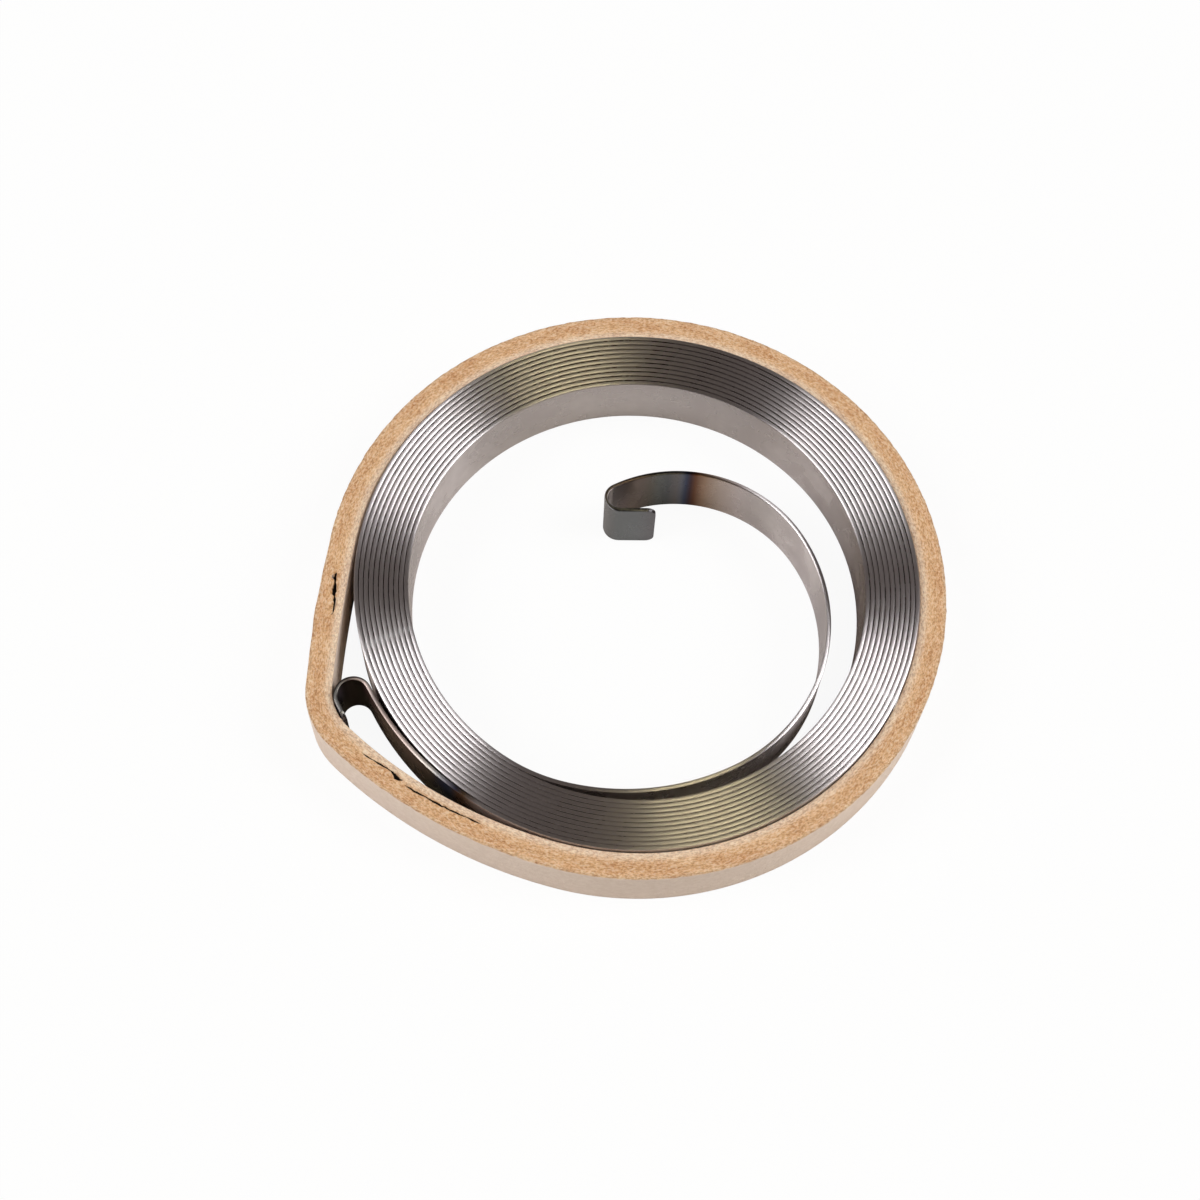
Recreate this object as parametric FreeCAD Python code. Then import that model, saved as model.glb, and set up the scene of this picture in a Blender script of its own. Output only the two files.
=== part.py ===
# Recoil starter spring: one flat steel strip coiled into a close pack of turns, with an arm and a
# hook inside the pack and a small folded hook outside it. A teardrop ring sliced from a wound
# card tube keeps the pack closed. It lies flat: z = 0 is the surface that both pieces rest on.
import FreeCAD, Part
import os
from math import acos, atan2, cos, degrees, hypot, isclose, radians, sin

from FreeCAD import Vector

# Strip, in millimetres and degrees
strip_width = 7.0
strip_thickness = 0.45
end_corner_radius = 1.0        # rounding of the four free corners of the strip

# Pack of turns, measured on the middle line of the strip
turn_count = 11
inner_turn_radius = 24.15
turn_gap = 0.08                # mean gap between one turn and the next
turn_drift = 0.045             # each turn lies this much further towards +Y than the one inside it

# Inner arm, from where it leaves the pack to its hook. Each bend has its own turn, and a radius that
# is this much less, or for the slack lower bend more, than that of the inner turn it winds against.
arm_start = 240.0
arm_root_less = 5.45
arm_root_turn = 18.7
arm_lower_more = 0.85
arm_lower_turn = 39.8
arm_side_less = 5.25
arm_side_turn = 94.0
arm_top_less = 9.25
arm_top_turn = 88.5
inner_eye_radius = 1.27        # free radius inside the hook
inner_eye_turn = 152.0
inner_leg = 3.8

# Outer arm, which eases off the pack and runs beside it, and the hook that folds back from it. Its
# radius is this much more than that of the outermost turn.
outer_start = -108.0
outer_arm_more = 1.65
outer_arm_turn = 41.9
outer_eye_radius = 1.55
outer_eye_turn = 180.0
outer_tail = 2.0

# Card ring, inner face
card_height = 6.5
card_wall = 2.8
card_clearance = 0.1           # between the outermost turn and the card
nose_radius = 6.0              # corner of the teardrop, round the outer hook
upper_side_radius = 150.0      # slack curves that lead from the nose to the round part
lower_side_radius = 50.0
nose_gap = 0.05                # between the nose and the outer hook, at its bend and at its tip


def unit(direction):
    return Vector(cos(radians(direction)), sin(radians(direction)), 0)


def direction_of(vector):
    return degrees(atan2(vector.y, vector.x))


# A route is a chain of moves. A straight is (length, None), and a bend is (radius, turn), where a
# positive turn goes left. Each move starts where the last one ended and runs on smoothly.
def follow(start, heading, moves):
    steps = []
    for size, turn in moves:
        steps.append((start, heading, size, turn))
        if turn is None:
            start = start + unit(heading) * size
        else:
            side = 90.0 if turn > 0 else -90.0
            centre = start + unit(heading + side) * size
            start = centre + unit(heading + turn - side) * size
            heading = heading + turn
    return steps, start, heading


def reversed_moves(moves):
    return [(size, None if turn is None else -turn) for size, turn in reversed(moves)]


def bend_centre(step):
    start, heading, size, turn = step
    return start + unit(heading + (90.0 if turn > 0 else -90.0)) * size


# The edge that runs beside a move, shifted to its left by `shift`.
def edge_beside(step, shift):
    start, heading, size, turn = step
    begin = start + unit(heading + 90.0) * shift
    if turn is None:
        return Part.LineSegment(begin, begin + unit(heading) * size).toShape()
    side = 90.0 if turn > 0 else -90.0
    radius = size - shift if turn > 0 else size + shift
    middle = bend_centre(step) + unit(heading + 0.5 * turn - side) * radius
    finish = bend_centre(step) + unit(heading + turn - side) * radius
    return Part.Arc(begin, middle, finish).toShape()


# The pack is a chain of half turns whose ends all lie on the Y axis. Each half turn on the +X side
# is larger than the one before it by a little less than half a pitch, and the next one by a little
# more, which moves the middle of the turns along +Y.
first_centre = Vector(0, 0, 0)
turn_pitch = strip_thickness + turn_gap
step_out = 0.5 * (turn_pitch - turn_drift)


def left_radius(turn):
    return inner_turn_radius + turn * turn_pitch


def right_radius(turn):
    return left_radius(turn) + step_out


def pack_moves():
    moves = [(left_radius(0), 90.0 - arm_start)]
    for turn in range(turn_count):
        moves.append((right_radius(turn), -180.0))
        moves.append((left_radius(turn + 1), -180.0))
    moves[-1] = (left_radius(turn_count), outer_start + 90.0)
    return moves


arm_moves = [
    (inner_turn_radius - arm_root_less, arm_root_turn),
    (inner_turn_radius + arm_lower_more, arm_lower_turn),
    (inner_turn_radius - arm_side_less, arm_side_turn),
    (inner_turn_radius - arm_top_less, arm_top_turn),
    (inner_eye_radius + 0.5 * strip_thickness, inner_eye_turn),
    (inner_leg, None),
]
outer_moves = [
    (left_radius(turn_count) + outer_arm_more, -outer_arm_turn),
    (outer_eye_radius + 0.5 * strip_thickness, outer_eye_turn),
    (outer_tail, None),
]
root_point = first_centre + unit(arm_start) * left_radius(0)
arm_steps, inner_tip, tip_heading = follow(root_point, arm_start + 90.0, arm_moves)
whole_route = reversed_moves(arm_moves) + pack_moves() + outer_moves
strip_steps, outer_tip, end_heading = follow(inner_tip, tip_heading + 180.0, whole_route)
inner_eye = bend_centre(arm_steps[-2])
outer_eye = bend_centre(strip_steps[-2])


def make_strip():
    half = 0.5 * strip_thickness
    edges = [edge_beside(step, side) for side in (half, -half) for step in strip_steps]
    for point, heading in ((inner_tip, tip_heading), (outer_tip, end_heading)):
        across = unit(heading + 90.0) * half
        edges.append(Part.LineSegment(point - across, point + across).toShape())
    outline = Part.Wire(Part.__sortEdges__(edges))
    strip = Part.Face(outline).extrude(Vector(0, 0, strip_width))
    corners = [edge for edge in strip.Edges if isclose(edge.Length, strip_thickness)]
    return strip.makeFillet(end_corner_radius, corners)


# The point at two given distances from two others, to the left of the line between them if the
# hand is positive.
def point_from(first, first_distance, second, second_distance, hand):
    span = second - first
    base = hypot(span.x, span.y)
    share = (first_distance**2 + base**2 - second_distance**2) / (2.0 * first_distance * base)
    return first + unit(direction_of(span) + hand * degrees(acos(share))) * first_distance


# The card's inner face is a round part about the outermost turn and a nose round the outer hook,
# with a long curve on each side that touches both.
round_centre = first_centre + Vector(0, (turn_count - 1) * turn_drift - step_out, 0)
round_radius = right_radius(turn_count - 1) + 0.5 * strip_thickness + card_clearance
hook_corner = outer_tip + unit(end_heading - 90.0) * 0.5 * strip_thickness
hook_reach = outer_eye_radius + strip_thickness
nose_reach = nose_radius - nose_gap
nose_centre = point_from(outer_eye, nose_reach - hook_reach, hook_corner, nose_reach, 1.0)


def side_centre(radius, hand):
    to_round = radius - round_radius
    return point_from(round_centre, to_round, nose_centre, radius - nose_radius, hand)


upper_centre = side_centre(upper_side_radius, 1.0)
lower_centre = side_centre(lower_side_radius, -1.0)


# An arc about a centre, counterclockwise from one direction to the other.
def arc_about(centre, radius, begin, end):
    turn = (end - begin) % 360.0
    points = [centre + unit(begin + share * turn) * radius for share in (0.0, 0.5, 1.0)]
    return Part.Arc(*points).toShape()


# The area inside the line that runs `wall` outside the card's inner face.
def card_area(wall):
    upper_begin = direction_of(round_centre - upper_centre)
    upper_end = direction_of(nose_centre - upper_centre)
    lower_begin = direction_of(nose_centre - lower_centre)
    lower_end = direction_of(round_centre - lower_centre)
    return Part.Face(Part.Wire([
        arc_about(upper_centre, upper_side_radius + wall, upper_begin, upper_end),
        arc_about(nose_centre, nose_radius + wall, upper_end, lower_begin),
        arc_about(lower_centre, lower_side_radius + wall, lower_begin, lower_end),
        arc_about(round_centre, round_radius + wall, lower_end, upper_begin),
    ]))


def make_card():
    return card_area(card_wall).cut(card_area(0.0)).extrude(Vector(0, 0, card_height))


# The origin is the middle of the footprint, on the surface that the part rests on.
pieces = {"spring_strip": make_strip(), "card_ring": make_card()}
footprint = Part.makeCompound(list(pieces.values())).BoundBox
origin = Vector(footprint.Center.x, footprint.Center.y, 0)
os.makedirs("parts", exist_ok=True)
for name, piece in pieces.items():
    piece.translate(-origin)
    piece.exportStep("parts/" + name + ".step")
    print(name, "valid", piece.isValid(), "volume", round(piece.Volume, 3))
print("inner eye", inner_eye - origin, "outer eye", outer_eye - origin)
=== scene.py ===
from math import atan2, ceil, cos, pi, radians, sin, sqrt, tau

import bmesh
import bpy
from mathutils import Matrix, Vector, noise


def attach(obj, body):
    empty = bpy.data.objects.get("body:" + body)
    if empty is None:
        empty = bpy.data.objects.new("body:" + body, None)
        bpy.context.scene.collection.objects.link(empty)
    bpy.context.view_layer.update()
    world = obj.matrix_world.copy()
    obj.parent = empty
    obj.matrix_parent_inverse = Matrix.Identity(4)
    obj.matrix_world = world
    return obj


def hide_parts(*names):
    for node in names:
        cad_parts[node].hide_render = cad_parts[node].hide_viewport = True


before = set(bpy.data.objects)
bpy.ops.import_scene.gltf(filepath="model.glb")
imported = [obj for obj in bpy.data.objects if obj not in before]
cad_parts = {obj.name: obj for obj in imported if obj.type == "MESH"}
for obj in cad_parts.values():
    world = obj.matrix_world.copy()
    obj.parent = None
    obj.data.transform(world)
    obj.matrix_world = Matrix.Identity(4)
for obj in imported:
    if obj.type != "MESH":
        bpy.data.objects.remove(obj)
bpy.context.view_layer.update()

scene = bpy.context.scene
scene.view_settings.view_transform = "Standard"
mm = 0.001
tiny = 0.001 * mm

# Recoil starter spring in its card ring. Both pieces are swept along a chain of bends and straights,
# written as (radius, degrees) and (length, None), where positive degrees turn left.


def along(heading):
    return Vector((cos(radians(heading)), sin(radians(heading)), 0))


# Turns a profile, drawn upright across the +Y direction, to face along a heading at a place.
def standProfile(bm, verts, place, heading):
    bmesh.ops.rotate(bm, verts=verts, cent=(0, 0, 0), matrix=Matrix.Rotation(radians(heading - 90), 3, "Z"))
    bmesh.ops.translate(bm, verts=verts, vec=place)


# The edges that join the given vertices, always in the same order
def edgesAmong(verts):
    chosen = set(verts)
    touched = dict.fromkeys(e for v in verts for e in v.link_edges)
    return [e for e in touched if e.verts[0] in chosen and e.verts[1] in chosen]


# Spins the profile round one bend, and writes on each new vertex how far along the sweep it lies.
def spinBend(bm, verts, place, heading, radius, turn, runLayer, runSoFar, stepAngle):
    side = 90 if turn > 0 else -90
    centre = place + along(heading + side) * radius
    known = set(bm.verts)
    steps = max(3, ceil(abs(turn) / stepAngle))
    result = bmesh.ops.spin(bm, geom=list(verts) + edgesAmong(verts), cent=centre, axis=(0, 0, 1),
                            angle=radians(turn), steps=steps, use_merge=False)
    begin = radians(heading - side)
    fresh = [v for v in bm.verts if v not in known]
    for v in fresh:
        travelled = (atan2(v.co.y - centre.y, v.co.x - centre.x) - begin) * (1 if turn > 0 else -1)
        v[runLayer] = runSoFar + (travelled % tau) * radius
    lastVerts = [g for g in result["geom_last"] if isinstance(g, bmesh.types.BMVert)]
    return lastVerts, centre + along(heading + turn - side) * radius, heading + turn, fresh, centre


# Pulls the profile straight on to each of the given distances. The drops lower its upper half and
# lift its lower half there, which rounds off the corners of an end.
def pullStraight(bm, verts, place, heading, distances, drops, runLayer, runSoFar, middleHeight):
    reached, drop = distances[0], drops[0]
    for distance, nextDrop in zip(distances[1:], drops[1:]):
        result = bmesh.ops.extrude_edge_only(bm, edges=edgesAmong(verts))
        verts = [g for g in result["geom"] if isinstance(g, bmesh.types.BMVert)]
        bmesh.ops.translate(bm, verts=verts, vec=along(heading) * (distance - reached))
        for v in verts:
            v.co.z += (drop - nextDrop) if v.co.z > middleHeight else (nextDrop - drop)
            v[runLayer] = runSoFar + distance
        reached, drop = distance, nextDrop
    return verts, place + along(heading) * (reached - distances[0])


def finishPiece(bm, name, material, cadNode):
    mesh = bpy.data.meshes.new(name)
    bm.to_mesh(mesh)
    bm.free()
    piece = bpy.data.objects.new(name, mesh)
    scene.collection.objects.link(piece)
    mesh.materials.append(material)
    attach(piece, "root")
    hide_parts(cadNode)
    print(name, "has", sum(len(p.vertices) - 2 for p in mesh.polygons), "triangles")
    return piece


# Node helpers for the materials
def newMaterial(name):
    material = bpy.data.materials.new(name)
    material.use_nodes = True
    return material, material.node_tree.nodes, material.node_tree.links


def attributeMap(nodes, links, name, low, high):
    attribute = nodes.new("ShaderNodeAttribute")
    attribute.attribute_name = name
    mapRange = nodes.new("ShaderNodeMapRange")
    mapRange.inputs["From Min"].default_value = low
    mapRange.inputs["From Max"].default_value = high
    links.new(attribute.outputs["Fac"], mapRange.inputs["Value"])
    return mapRange.outputs["Result"]


def colorRamp(nodes, links, source, stops):
    ramp = nodes.new("ShaderNodeValToRGB")
    while len(ramp.color_ramp.elements) < len(stops):
        ramp.color_ramp.elements.new(1.0)
    for element, (position, color) in zip(ramp.color_ramp.elements, stops):
        element.position = position
        element.color = (*color, 1) if len(color) == 3 else color
    links.new(source, ramp.inputs["Fac"])
    return ramp.outputs["Color"]


# A ramp by distance along the strip, with its stops in millimetres
def tintAlong(nodes, links, layer, stops):
    last = stops[-1][0]
    share = attributeMap(nodes, links, layer, 0.0, last * mm)
    return colorRamp(nodes, links, share, [(run / last, color) for run, color in stops])


def mixColor(nodes, links, factor, first, second):
    mix = nodes.new("ShaderNodeMix")
    mix.data_type = "RGBA"
    for socket, value in ((mix.inputs[0], factor), (mix.inputs[6], first), (mix.inputs[7], second)):
        if isinstance(value, bpy.types.NodeSocket):
            links.new(value, socket)
        elif isinstance(value, (int, float)):
            socket.default_value = value
        else:
            socket.default_value = (*value, 1)
    return mix.outputs[2]


def noiseTexture(nodes, links, vector, scale, detail=2.0, rough=0.5):
    texture = nodes.new("ShaderNodeTexNoise")
    texture.inputs["Scale"].default_value = scale
    texture.inputs["Detail"].default_value = detail
    texture.inputs["Roughness"].default_value = rough
    links.new(vector, texture.inputs["Vector"])
    return texture.outputs["Fac"]


# Nothing on upright faces and full on faces that look up
def upwardShare(nodes, links, low, high):
    facing = nodes.new("ShaderNodeNewGeometry")
    upward = nodes.new("ShaderNodeSeparateXYZ")
    links.new(facing.outputs["Normal"], upward.inputs["Vector"])
    return colorRamp(nodes, links, upward.outputs["Z"], [(low, (0, 0, 0)), (high, (1, 1, 1))])


def srgb(red, green, blue):
    return tuple(pow((c / 255 + 0.055) / 1.055, 2.4) if c > 10 else c / 3295 for c in (red, green, blue))


# Steel strip, from the tip of the inner hook to the tip of the outer hook
strip = {
    "width": 7.0 * mm,
    "thickness": 0.45 * mm,
    "edgePoints": 18,
    "edgeRise": 0.5,
    "loopInset": 0.12 * mm,
    "cornerRadius": 1.0 * mm,
    "tip": (2.0653 * mm, 8.2352 * mm),
    "heading": 183.0,
    "turns": 11,
    "innerRadius": 24.15 * mm,
    "pitch": 0.53 * mm,
    "drift": 0.045 * mm,
    "packStart": 240.0,
    "packEnd": -108.0,
    "legLength": 3.8 * mm,
    "innerHook": (1.495 * mm, -152.0),
    "arm": [(14.9 * mm, -88.5), (18.9 * mm, -94.0), (25.0 * mm, -39.8), (18.7 * mm, -18.7)],
    "outerArm": (31.63 * mm, -41.9),
    "outerHook": (1.775 * mm, 180.0),
    "tailLength": 2.0 * mm,
    "stepAngle": 2.0,
    "tightRadius": 10 * mm,
    "tightStepAngle": 8.0,
    "cornerStepAngle": 15,
    "faceRoughness": (0.25, 0.30),
    "edgeRoughnessMore": 0.09,
}


def steelMaterial():
    material, nodes, links = newMaterial("springSteel")
    shader = nodes["Principled BSDF"]
    shader.inputs["Metallic"].default_value = 1.0
    # Fine drawing marks run along the strip, so the shine spreads across them
    shader.inputs["Anisotropic"].default_value = 1.0
    shader.inputs["Anisotropic Rotation"].default_value = 0.25
    grainWay = nodes.new("ShaderNodeTangent")
    grainWay.direction_type = "RADIAL"
    grainWay.axis = "Z"
    links.new(grainWay.outputs["Tangent"], shader.inputs["Tangent"])
    place = nodes.new("ShaderNodeTexCoord").outputs["Object"]
    clouds = noiseTexture(nodes, links, place, 260.0, 3.0, 0.6)
    faces = colorRamp(nodes, links, clouds, [(0.30, srgb(186, 176, 175)), (0.70, srgb(204, 195, 193))])
    topness = upwardShare(nodes, links, 0.25, 0.65)
    plain = mixColor(nodes, links, topness, faces, srgb(236, 230, 231))
    # Heat tint of the inner hook and the arm beside it, in millimetres from the tip
    innerTint = tintAlong(nodes, links, "innerRun", [
        (0, srgb(107, 103, 106)), (2, srgb(110, 111, 113)), (4, srgb(111, 112, 113)),
        (6.5, srgb(126, 118, 116)), (8, srgb(134, 122, 120)), (9, srgb(124, 108, 106)),
        (10, srgb(130, 114, 107)), (11, srgb(113, 100, 95)), (12, srgb(105, 98, 92)),
        (13, srgb(101, 102, 101)), (14, srgb(94, 95, 98)), (15, srgb(112, 107, 109)),
        (15.5, srgb(106, 107, 117)), (16, srgb(66, 73, 96)), (16.5, srgb(72, 51, 57)),
        (17, srgb(112, 73, 52)), (18, srgb(165, 135, 115)), (19, srgb(181, 160, 147)),
        (20, srgb(192, 175, 167)), (22, srgb(201, 188, 187)), (24, srgb(198, 188, 187)),
    ])
    innerShare = tintAlong(nodes, links, "innerRun", [(0, (1, 1, 1)), (22, (1, 1, 1)), (24, (0, 0, 0))])
    tinted = mixColor(nodes, links, innerShare, plain, innerTint)
    # The outer arm is brown on its faces and paler on its edges, with a blue band near the pack
    outerFaces = tintAlong(nodes, links, "outerRun", [
        (0, srgb(96, 92, 98)), (3, srgb(78, 72, 74)), (5, srgb(60, 42, 42)), (9, srgb(76, 54, 49)),
        (12, srgb(84, 66, 54)), (16, srgb(94, 74, 65)), (18.5, srgb(84, 68, 56)), (19.6, srgb(58, 52, 60)),
        (20.6, srgb(44, 50, 74)), (21.4, srgb(58, 62, 80)), (22.3, srgb(110, 76, 54)),
        (23.5, srgb(140, 108, 84)), (26, srgb(198, 188, 186)),
    ])
    outerEdges = tintAlong(nodes, links, "outerRun", [
        (0, srgb(150, 146, 142)), (1, srgb(104, 103, 101)), (3, srgb(121, 119, 115)),
        (5, srgb(80, 71, 67)), (7, srgb(180, 163, 156)), (9, srgb(134, 122, 118)),
        (12, srgb(158, 141, 134)), (15, srgb(182, 165, 158)), (18.5, srgb(202, 194, 186)),
        (20, srgb(168, 168, 170)), (21, srgb(130, 126, 134)), (22, srgb(66, 67, 84)),
        (23, srgb(114, 92, 68)), (24, srgb(128, 104, 86)), (26, srgb(236, 230, 231)),
    ])
    outerTint = mixColor(nodes, links, topness, outerFaces, outerEdges)
    outerShare = tintAlong(nodes, links, "outerRun", [(0, (1, 1, 1)), (23, (1, 1, 1)), (26, (0, 0, 0))])
    links.new(mixColor(nodes, links, outerShare, tinted, outerTint), shader.inputs["Base Color"])
    wear = nodes.new("ShaderNodeMapRange")
    wear.inputs["From Min"].default_value = 0.3
    wear.inputs["From Max"].default_value = 0.7
    wear.inputs["To Min"].default_value, wear.inputs["To Max"].default_value = strip["faceRoughness"]
    links.new(clouds, wear.inputs["Value"])
    # The edges are a little rougher than the faces
    rough = nodes.new("ShaderNodeMath")
    rough.operation = "MULTIPLY_ADD"
    rough.inputs[1].default_value = strip["edgeRoughnessMore"]
    links.new(topness, rough.inputs[0])
    links.new(wear.outputs["Result"], rough.inputs[2])
    links.new(rough.outputs["Value"], shader.inputs["Roughness"])
    return material


def buildStrip():
    half = strip["width"] / 2
    bm = bmesh.new()
    innerRun = bm.verts.layers.float.new("innerRun")
    outerRun = bm.verts.layers.float.new("outerRun")
    # A circle pulled apart into a flat section with round edges
    upright = Matrix.Rotation(pi / 2, 4, "X") @ Matrix.Rotation(pi / strip["edgePoints"], 4, "Z")
    circle = bmesh.ops.create_circle(bm, cap_ends=False, segments=strip["edgePoints"],
                                     radius=strip["thickness"] / 2, matrix=upright)
    verts = circle["verts"]
    for v in verts:
        v.co.z *= strip["edgeRise"]
    reach = half - strip["thickness"] / 2 * strip["edgeRise"]
    upper = [v for v in verts if v.co.z > 0]
    lower = [v for v in verts if v.co.z < 0]
    bmesh.ops.translate(bm, verts=upper, vec=(0, 0, half + reach))
    bmesh.ops.translate(bm, verts=lower, vec=(0, 0, half - reach))
    # A loop just inside each round edge keeps the flat faces flat
    uprights = [e for e in bm.edges if e.calc_length() > half]
    loops = bmesh.ops.subdivide_edges(bm, edges=uprights, cuts=2, use_grid_fill=False)["geom_inner"]
    for v in (g for g in loops if isinstance(g, bmesh.types.BMVert)):
        v.co.z = half + (reach - strip["loopInset"]) * (1 if v.co.z > half else -1)
    verts = list(bm.verts)
    place = Vector((*strip["tip"], 0))
    heading = strip["heading"]
    standProfile(bm, verts, place, heading)

    # Rounded corners at an end: how much shorter the section is at a distance from the tip
    corner = strip["cornerRadius"]
    cornerAngles = range(0, 91, strip["cornerStepAngle"])
    near = [corner * (1 - cos(radians(a))) for a in cornerAngles]
    nearDrops = [corner * (1 - sin(radians(a))) for a in cornerAngles]
    for v in verts:
        v.co.z += -corner if v.co.z > half else corner
    leg = strip["legLength"]
    verts, place = pullStraight(bm, verts, place, heading, near + [leg], nearDrops + [0.0],
                                innerRun, 0.0, half)
    run = leg

    moves = [strip["innerHook"], *strip["arm"], (strip["innerRadius"], 90 - strip["packStart"])]
    stepOut = (strip["pitch"] - strip["drift"]) / 2
    for turn in range(strip["turns"]):
        inner = strip["innerRadius"] + turn * strip["pitch"]
        moves += [(inner + stepOut, -180.0), (inner + strip["pitch"], -180.0)]
    moves[-1] = (moves[-1][0], strip["packEnd"] + 90)
    moves += [strip["outerArm"], strip["outerHook"]]
    for radius, turn in moves:
        stepAngle = strip["stepAngle"] if radius > strip["tightRadius"] else strip["tightStepAngle"]
        verts, place, heading = spinBend(bm, verts, place, heading, radius, turn, innerRun, run,
                                         stepAngle)[:3]
        run += radius * radians(abs(turn))
    tail = strip["tailLength"]
    far = [0.0] + [tail - d for d in reversed(near)]
    farDrops = [0.0] + list(reversed(nearDrops))
    verts, place = pullStraight(bm, verts, place, heading, far, farDrops, innerRun, run, half)
    run += tail
    for v in bm.verts:
        v[outerRun] = run - v[innerRun]

    # Close the two ends with flat caps
    rims = [e for e in bm.edges if e.is_boundary]
    caps = bmesh.ops.holes_fill(bm, edges=rims, sides=0)["faces"]
    bmesh.ops.recalc_face_normals(bm, faces=bm.faces)
    for face in bm.faces:
        face.smooth = True
    for cap in caps:
        cap.smooth = False
        for e in cap.edges:
            e.smooth = False
    print("strip is", round(run / mm, 1), "mm long")
    return finishPiece(bm, "springStrip", steelMaterial(), "spring_strip")


# Card ring, from where its round part ends at the upper left, round the nose and back
card = {
    "height": 6.5 * mm,
    "wall": 2.79 * mm,
    "roundCentre": (0.3026 * mm, 0.0),
    "startAngle": 174.2426,
    "moves": [(150.0 * mm, 6.4365), (6.0 * mm, 48.48), (50.0 * mm, 28.8202), (30.0175 * mm, 276.2633)],
    "rings": 14,
    "stepLength": 0.32 * mm,
    "rimRadius": 0.12 * mm,
    "roughTop": 0.04 * mm,
    "fray": 0.07 * mm,
    # Fibre pattern per millimetre: round the ring, across it and up its wall
    "fibreScale": (0.9, 2.4, 1.1),
    # How far a split wanders, how much its sides vary, its least half width, and the depth at which its
    # painted shade turns full black
    "splitWander": 0.06 * mm,
    "splitRag": 0.6,
    "splitLeast": 0.015 * mm,
    "splitShadeDepth": 0.4 * mm,
    # Run, distance out from the inner face, half width and depth, in millimetres
    "splits": [
        [(4.2, 1.42, 0.05, 0.0), (4.5, 1.40, 0.30, 1.0), (4.9, 1.36, 0.26, 1.0), (5.15, 1.30, 0.04, 0.1),
         (5.5, 1.26, 0.26, 1.3), (6.0, 1.24, 0.34, 1.4), (6.5, 1.20, 0.30, 1.3), (6.8, 1.12, 0.06, 0.2),
         (7.1, 1.05, 0.22, 1.1), (7.5, 0.98, 0.12, 0.8), (7.9, 0.95, 0.18, 0.9), (8.5, 0.92, 0.10, 0.6),
         (9.0, 0.92, 0.03, 0.0)],
        [(24.9, 1.06, 0.03, 0.0), (25.5, 1.00, 0.12, 0.6), (26.3, 0.92, 0.05, 0.3), (27.2, 0.80, 0.16, 0.9),
         (27.9, 0.70, 0.10, 0.7), (28.4, 0.70, 0.05, 0.3), (28.8, 0.78, 0.22, 1.0), (29.2, 0.88, 0.38, 1.4),
         (29.6, 0.92, 0.26, 1.2), (29.9, 0.94, 0.03, 0.0)],
        [(30.5, 1.10, 0.03, 0.0), (31.0, 1.08, 0.12, 0.8), (31.8, 1.04, 0.16, 1.0), (33.0, 0.97, 0.10, 0.8),
         (34.2, 0.96, 0.17, 1.0), (35.5, 0.92, 0.11, 0.8), (36.6, 0.88, 0.16, 1.0), (37.3, 0.84, 0.04, 0.1),
         (37.9, 0.84, 0.15, 0.9), (38.6, 0.87, 0.10, 0.6), (39.1, 0.88, 0.03, 0.0)],
    ],
    # A slow bulge in the outer wall, in millimetres
    "bulge": {"run": 8.6, "length": 3.4, "height": 0.12},
}


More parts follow.
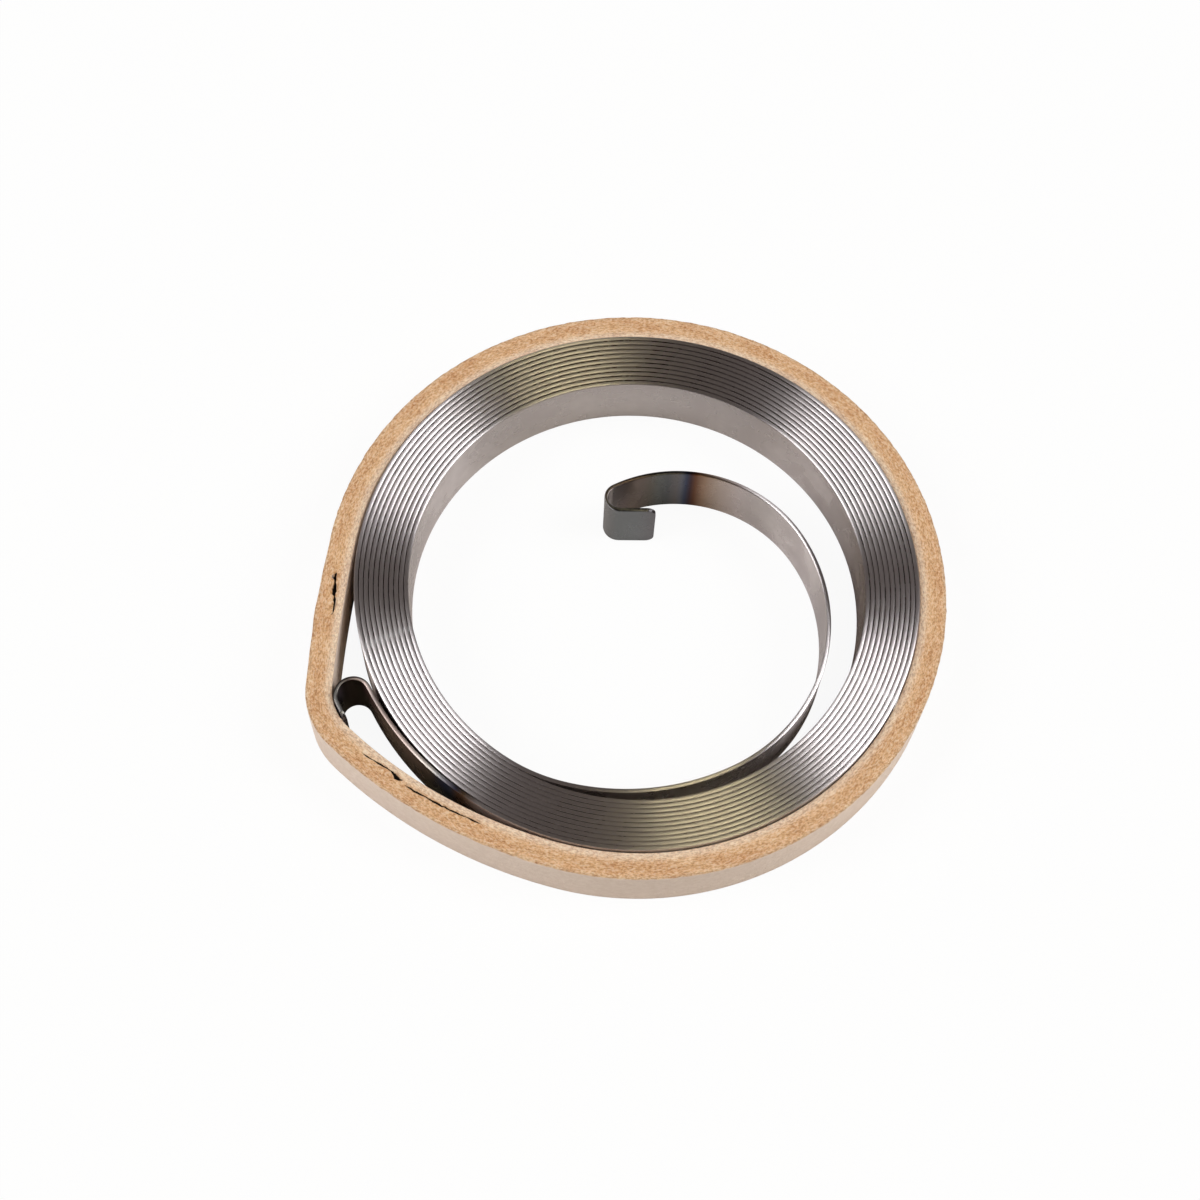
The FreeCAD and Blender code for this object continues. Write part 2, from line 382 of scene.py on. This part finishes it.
def cardMaterial():
    material, nodes, links = newMaterial("woundCard")
    shader = nodes["Principled BSDF"]
    shader.inputs["Roughness"].default_value = 0.92
    shader.inputs["Specular IOR Level"].default_value = 0.25
    place = nodes.new("ShaderNodeTexCoord").outputs["Object"]
    fibreRun = nodes.new("ShaderNodeAttribute")
    fibreRun.attribute_name = "fibre"
    fibreWay = fibreRun.outputs["Vector"]
    fibres = noiseTexture(nodes, links, fibreWay, 1.5, 4.0, 0.75)
    flecks = noiseTexture(nodes, links, fibreWay, 2.9, 3.0, 0.75)
    blotch = noiseTexture(nodes, links, fibreWay, 0.28, 2.0, 0.5)
    speck = noiseTexture(nodes, links, place, 4200.0, 2.0, 0.7)
    across = attributeMap(nodes, links, "across", 0.0, card["wall"])
    # From the inner face to the outer: a pale rim, a tan core, browner plies and a light edge
    plies = colorRamp(nodes, links, across, [
        (0.00, srgb(250, 238, 226)),
        (0.10, srgb(255, 246, 236)),
        (0.20, srgb(252, 236, 218)),
        (0.34, srgb(232, 188, 146)),
        (0.46, srgb(222, 166, 112)),
        (0.62, srgb(206, 148, 92)),
        (0.78, srgb(220, 158, 104)),
        (0.90, srgb(224, 184, 144)),
        (0.95, srgb(176, 138, 108)),
        (1.00, srgb(212, 186, 162)),
    ])
    sawn = plies
    for share, pattern, stops in (
        (0.36, fibres, [(0.40, srgb(158, 92, 44)), (0.50, srgb(234, 180, 126)), (0.60, srgb(255, 230, 198))]),
        (0.22, blotch, [(0.40, srgb(184, 118, 64)), (0.58, srgb(240, 204, 160))]),
        (0.34, flecks, [(0.41, srgb(112, 58, 26)), (0.49, srgb(236, 184, 130)), (0.59, srgb(255, 244, 224))]),
        (0.12, speck, [(0.35, srgb(140, 94, 62)), (0.65, srgb(255, 234, 206))]),
    ):
        sawn = mixColor(nodes, links, share, sawn, colorRamp(nodes, links, pattern, stops))
    # The outer and inner walls are smooth paper
    pulp = colorRamp(nodes, links, fibres, [(0.35, srgb(210, 186, 168)), (0.65, srgb(244, 228, 214))])
    paper = mixColor(nodes, links, 0.3, srgb(246, 226, 211), pulp)
    surface = mixColor(nodes, links, upwardShare(nodes, links, 0.35, 0.75), paper, sawn)
    # Painted shade: the deep parts of the splits are painted near black
    splitShade = nodes.new("ShaderNodeAttribute")
    splitShade.attribute_name = "splitShade"
    splitShadeShare = colorRamp(nodes, links, splitShade.outputs["Fac"], [(0.15, (0, 0, 0)), (0.45, (1, 1, 1))])
    links.new(mixColor(nodes, links, splitShadeShare, surface, srgb(20, 13, 10)), shader.inputs["Base Color"])
    normal = None
    for pattern, strength, depth in ((fibres, 0.7, 0.25 * mm), (flecks, 0.5, 0.1 * mm)):
        bump = nodes.new("ShaderNodeBump")
        bump.inputs["Strength"].default_value = strength
        bump.inputs["Distance"].default_value = depth
        links.new(pattern, bump.inputs["Height"])
        if normal:
            links.new(normal, bump.inputs["Normal"])
        normal = bump.outputs["Normal"]
    links.new(normal, shader.inputs["Normal"])
    return material


# The row of figures at a value, worked out between the two rows round it
def between(points, value):
    for first, second in zip(points, points[1:]):
        if first[0] <= value <= second[0]:
            share = (value - first[0]) / (second[0] - first[0])
            return [a + (b - a) * share for a, b in zip(first, second)]
    return None


def buildCard():
    bm = bmesh.new()
    runLayer = bm.verts.layers.float.new("run")
    across = bm.verts.layers.float.new("across")
    splitShade = bm.verts.layers.float.new("splitShade")
    fibre = bm.verts.layers.float_vector.new("fibre")
    height, wall, rings = card["height"], card["wall"], card["rings"]
    # The section: a rectangle with rounded corners, divided finely along its sawn faces
    section = (Matrix.Translation((-wall / 2, 0, height / 2)) @ Matrix.Diagonal((wall, 1, height, 1))
               @ Matrix.Rotation(pi / 2, 4, "X"))
    bmesh.ops.create_grid(bm, x_segments=1, y_segments=1, size=0.5, matrix=section)
    bmesh.ops.delete(bm, geom=list(bm.faces), context="FACES_ONLY")
    bmesh.ops.bevel(bm, geom=list(bm.verts), offset=card["rimRadius"], offset_type="OFFSET", segments=3,
                    profile=0.5, affect="VERTICES", material=-1)
    flats = [e for e in bm.edges
             if e.calc_length() > wall / 2 and abs(e.verts[0].co.z - e.verts[1].co.z) < tiny]
    bmesh.ops.subdivide_edges(bm, edges=flats, cuts=rings - 1, use_grid_fill=False)
    uprights = [e for e in bm.edges
                if e.calc_length() > height / 2 and abs(e.verts[0].co.x - e.verts[1].co.x) < tiny]
    bmesh.ops.subdivide_edges(bm, edges=uprights, cuts=5, use_grid_fill=False)
    verts = list(bm.verts)
    # The sweep line is the inner face, and the wall lies to the right of the way round
    place = Vector((*card["roundCentre"], 0)) + along(card["startAngle"]) * card["moves"][3][0]
    heading = card["startAngle"] + 90
    for v in verts:
        v.co.x = -v.co.x
    standProfile(bm, verts, place, heading)
    details = {}
    outward = along(heading - 90)
    for v in verts:
        details[v] = (0.0, (v.co - place).dot(outward), outward)
    run = 0.0
    for radius, turn in card["moves"]:
        stepAngle = card["stepLength"] / (radius + wall / 2) / radians(1)
        verts, place, heading, fresh, centre = spinBend(bm, verts, place, heading, radius, turn, runLayer,
                                                        run, stepAngle)
        for v in fresh:
            away = Vector((v.co.x - centre.x, v.co.y - centre.y, 0))
            details[v] = (v[runLayer], away.length - radius, away.normalized())
        run += radius * radians(turn)
    ringLength = run

    # The fibre pattern is the same where the sweep meets its own start
    alongScale, acrossScale, upScale = card["fibreScale"]
    for v, (distance, out, outward) in details.items():
        v[across] = out
        spread = v.co / mm * alongScale + outward * (out / mm * (acrossScale - alongScale))
        v[fibre] = (spread.x, spread.y, v.co.z / mm * upScale)

    # Splits between plies: the ring of vertices nearest to the split sinks, and its neighbours part. The sunk
    # ring also carries a painted shade, darker the deeper it sinks
    ringGap = (wall - 2 * card["rimRadius"]) / rings
    for split in card["splits"]:
        mean = sum(p[1] for p in split) / len(split) * mm
        middle = card["rimRadius"] + round((mean - card["rimRadius"]) / ringGap) * ringGap
        for v, (distance, out, outward) in details.items():
            offset = round((out - middle) / ringGap)
            found = between(split, distance / mm)
            if v.co.z < height - 10 * tiny or abs(offset) > 1 or found is None:
                continue
            centreLine, halfWidth, depth = (x * mm for x in found[1:])
            wander = noise.noise(Vector((distance / mm * 2.3, 7.0, mean / mm))) * card["splitWander"]
            if offset == 0:
                v.co += outward * (centreLine + wander - out)
                v.co.z -= depth * (0.75 + 0.5 * noise.noise(Vector((distance / mm * 3.1, 1.0, 0))))
                # Painted shade in the split, full black at the shade depth
                v[splitShade] = min(1.0, depth / card["splitShadeDepth"])
            else:
                rag = 1 + card["splitRag"] * noise.noise(Vector((distance / mm * 3.7, offset * 5.0, 3.0)))
                aside = offset * max(halfWidth * rag, card["splitLeast"])
                v.co += outward * (centreLine + wander + aside - out)

    # Saw marks on the top, fray on its outer rim, and the bulge in the wall
    bulge = card["bulge"]
    for v, (distance, out, outward) in details.items():
        if v.co.z > height - 10 * tiny:
            v.co.z += card["roughTop"] * (noise.noise(v[fibre]) - 0.5)
        if v.co.z > height - card["rimRadius"] * 1.5 and out > wall - 0.2 * mm:
            spot = outward * (wall / mm * 18) + Vector((0, 0, 3.0))
            v.co += outward * card["fray"] * (noise.noise(spot) - 0.4)
        close = max(0.0, 1 - abs(distance / mm - bulge["run"]) / bulge["length"])
        if out > wall / 2:
            v.co += outward * bulge["height"] * mm * close * close * (3 - 2 * close) * (out / wall * 2 - 1)
    bmesh.ops.remove_doubles(bm, verts=bm.verts, dist=4 * tiny)
    bmesh.ops.recalc_face_normals(bm, faces=bm.faces)
    for face in bm.faces:
        face.smooth = True
    print("ring is", round(ringLength / mm, 1), "mm round its inner face")
    return finishPiece(bm, "cardRing", cardMaterial(), "card_ring")


print("building the strip")
springStrip = buildStrip()
print("building the ring")
cardRing = buildCard()

# Pale floor. For the camera it is a little brighter than it is lit, and it keeps the shadow.
floorLook = {"size": 3.0, "color": (0.88, 0.88, 0.88), "lift": 0.93}


def buildFloor():
    bm = bmesh.new()
    bmesh.ops.create_grid(bm, x_segments=2, y_segments=2, size=floorLook["size"])
    mesh = bpy.data.meshes.new("floor")
    bm.to_mesh(mesh)
    bm.free()
    floor = bpy.data.objects.new("floor", mesh)
    scene.collection.objects.link(floor)
    material, nodes, links = newMaterial("paleFloor")
    shader = nodes["Principled BSDF"]
    shader.inputs["Base Color"].default_value = (*floorLook["color"], 1)
    shader.inputs["Roughness"].default_value = 0.9
    shader.inputs["Specular IOR Level"].default_value = 0.1
    white = nodes.new("ShaderNodeEmission")
    white.inputs["Strength"].default_value = 1.0
    lightPath = nodes.new("ShaderNodeLightPath")
    lift = nodes.new("ShaderNodeMath")
    lift.operation = "MULTIPLY"
    lift.inputs[1].default_value = floorLook["lift"]
    links.new(lightPath.outputs["Is Camera Ray"], lift.inputs[0])
    mix = nodes.new("ShaderNodeMixShader")
    links.new(lift.outputs["Value"], mix.inputs["Fac"])
    links.new(shader.outputs["BSDF"], mix.inputs[1])
    links.new(white.outputs["Emission"], mix.inputs[2])
    links.new(mix.outputs["Shader"], nodes["Material Output"].inputs["Surface"])
    mesh.materials.append(material)


# Two broad softboxes, left and right, and a warm strip overhead. Each lies towards a place on the
# plan of a unit dome, and its long side runs along the sector of ridges that it lights.
lampDistance = 1.2
lampLooks = {
    "leftBox": {"toward": (-0.734, -0.114), "sector": 36.0, "wide": 0.56, "tall": 0.64, "glow": 6.0,
                "color": (1, 1, 1)},
    "rightBox": {"toward": (0.742, 0.038), "sector": 152.5, "wide": 0.50, "tall": 0.64, "glow": 6.4,
                 "color": (1, 1, 1)},
    "topStrip": {"toward": (0.22, -0.15), "sector": 110.0, "wide": 0.27, "tall": 0.20, "glow": 6.0,
                 "color": (1.0, 0.89, 0.52)},
}


def buildLamps():
    for name, look in lampLooks.items():
        data = bpy.data.lights.new(name, "AREA")
        data.shape = "RECTANGLE"
        data.size = look["wide"] * lampDistance
        data.size_y = look["tall"] * lampDistance
        data.energy = look["glow"] * pi * data.size * data.size_y
        data.color = look["color"]
        lamp = bpy.data.objects.new(name, data)
        scene.collection.objects.link(lamp)
        x, y = look["toward"]
        direction = Vector((x, y, sqrt(1 - x * x - y * y)))
        tallWay = along(look["sector"] + 90).cross(direction).normalized()
        turned = Matrix((tallWay.cross(direction), tallWay, direction)).transposed().to_4x4()
        lamp.matrix_world = Matrix.Translation(direction * lampDistance) @ turned


# A dim warm room fills the dark sectors
roomLook = {"color": (1.0, 0.84, 0.76), "strength": 0.08}


def buildWorld():
    world = bpy.data.worlds.new("studio")
    scene.world = world
    world.use_nodes = True
    background = world.node_tree.nodes["Background"]
    background.inputs["Color"].default_value = (*roomLook["color"], 1)
    background.inputs["Strength"].default_value = roomLook["strength"]


# The photograph's viewpoint
cameraLook = {
    "target": (-3.3904 * mm, -2.8015 * mm, 7.0 * mm),
    "distance": 210 * mm,
    "elevation": 64.87,
    "roll": 3.14,
    "lens": 60.21,
}


def buildCamera():
    data = bpy.data.cameras.new("camera")
    data.lens = cameraLook["lens"]
    data.clip_start = 0.01
    data.clip_end = 10.0
    camera = bpy.data.objects.new("camera", data)
    scene.collection.objects.link(camera)
    tilt = radians(90 - cameraLook["elevation"])
    back = Vector((0, -sin(tilt), cos(tilt)))
    turn = Matrix.Rotation(tilt, 4, "X") @ Matrix.Rotation(radians(cameraLook["roll"]), 4, "Z")
    place = Vector(cameraLook["target"]) + back * cameraLook["distance"]
    camera.matrix_world = Matrix.Translation(place) @ turn
    scene.camera = camera


print("setting the stage")
buildFloor()
buildLamps()
buildWorld()
buildCamera()

print("done")
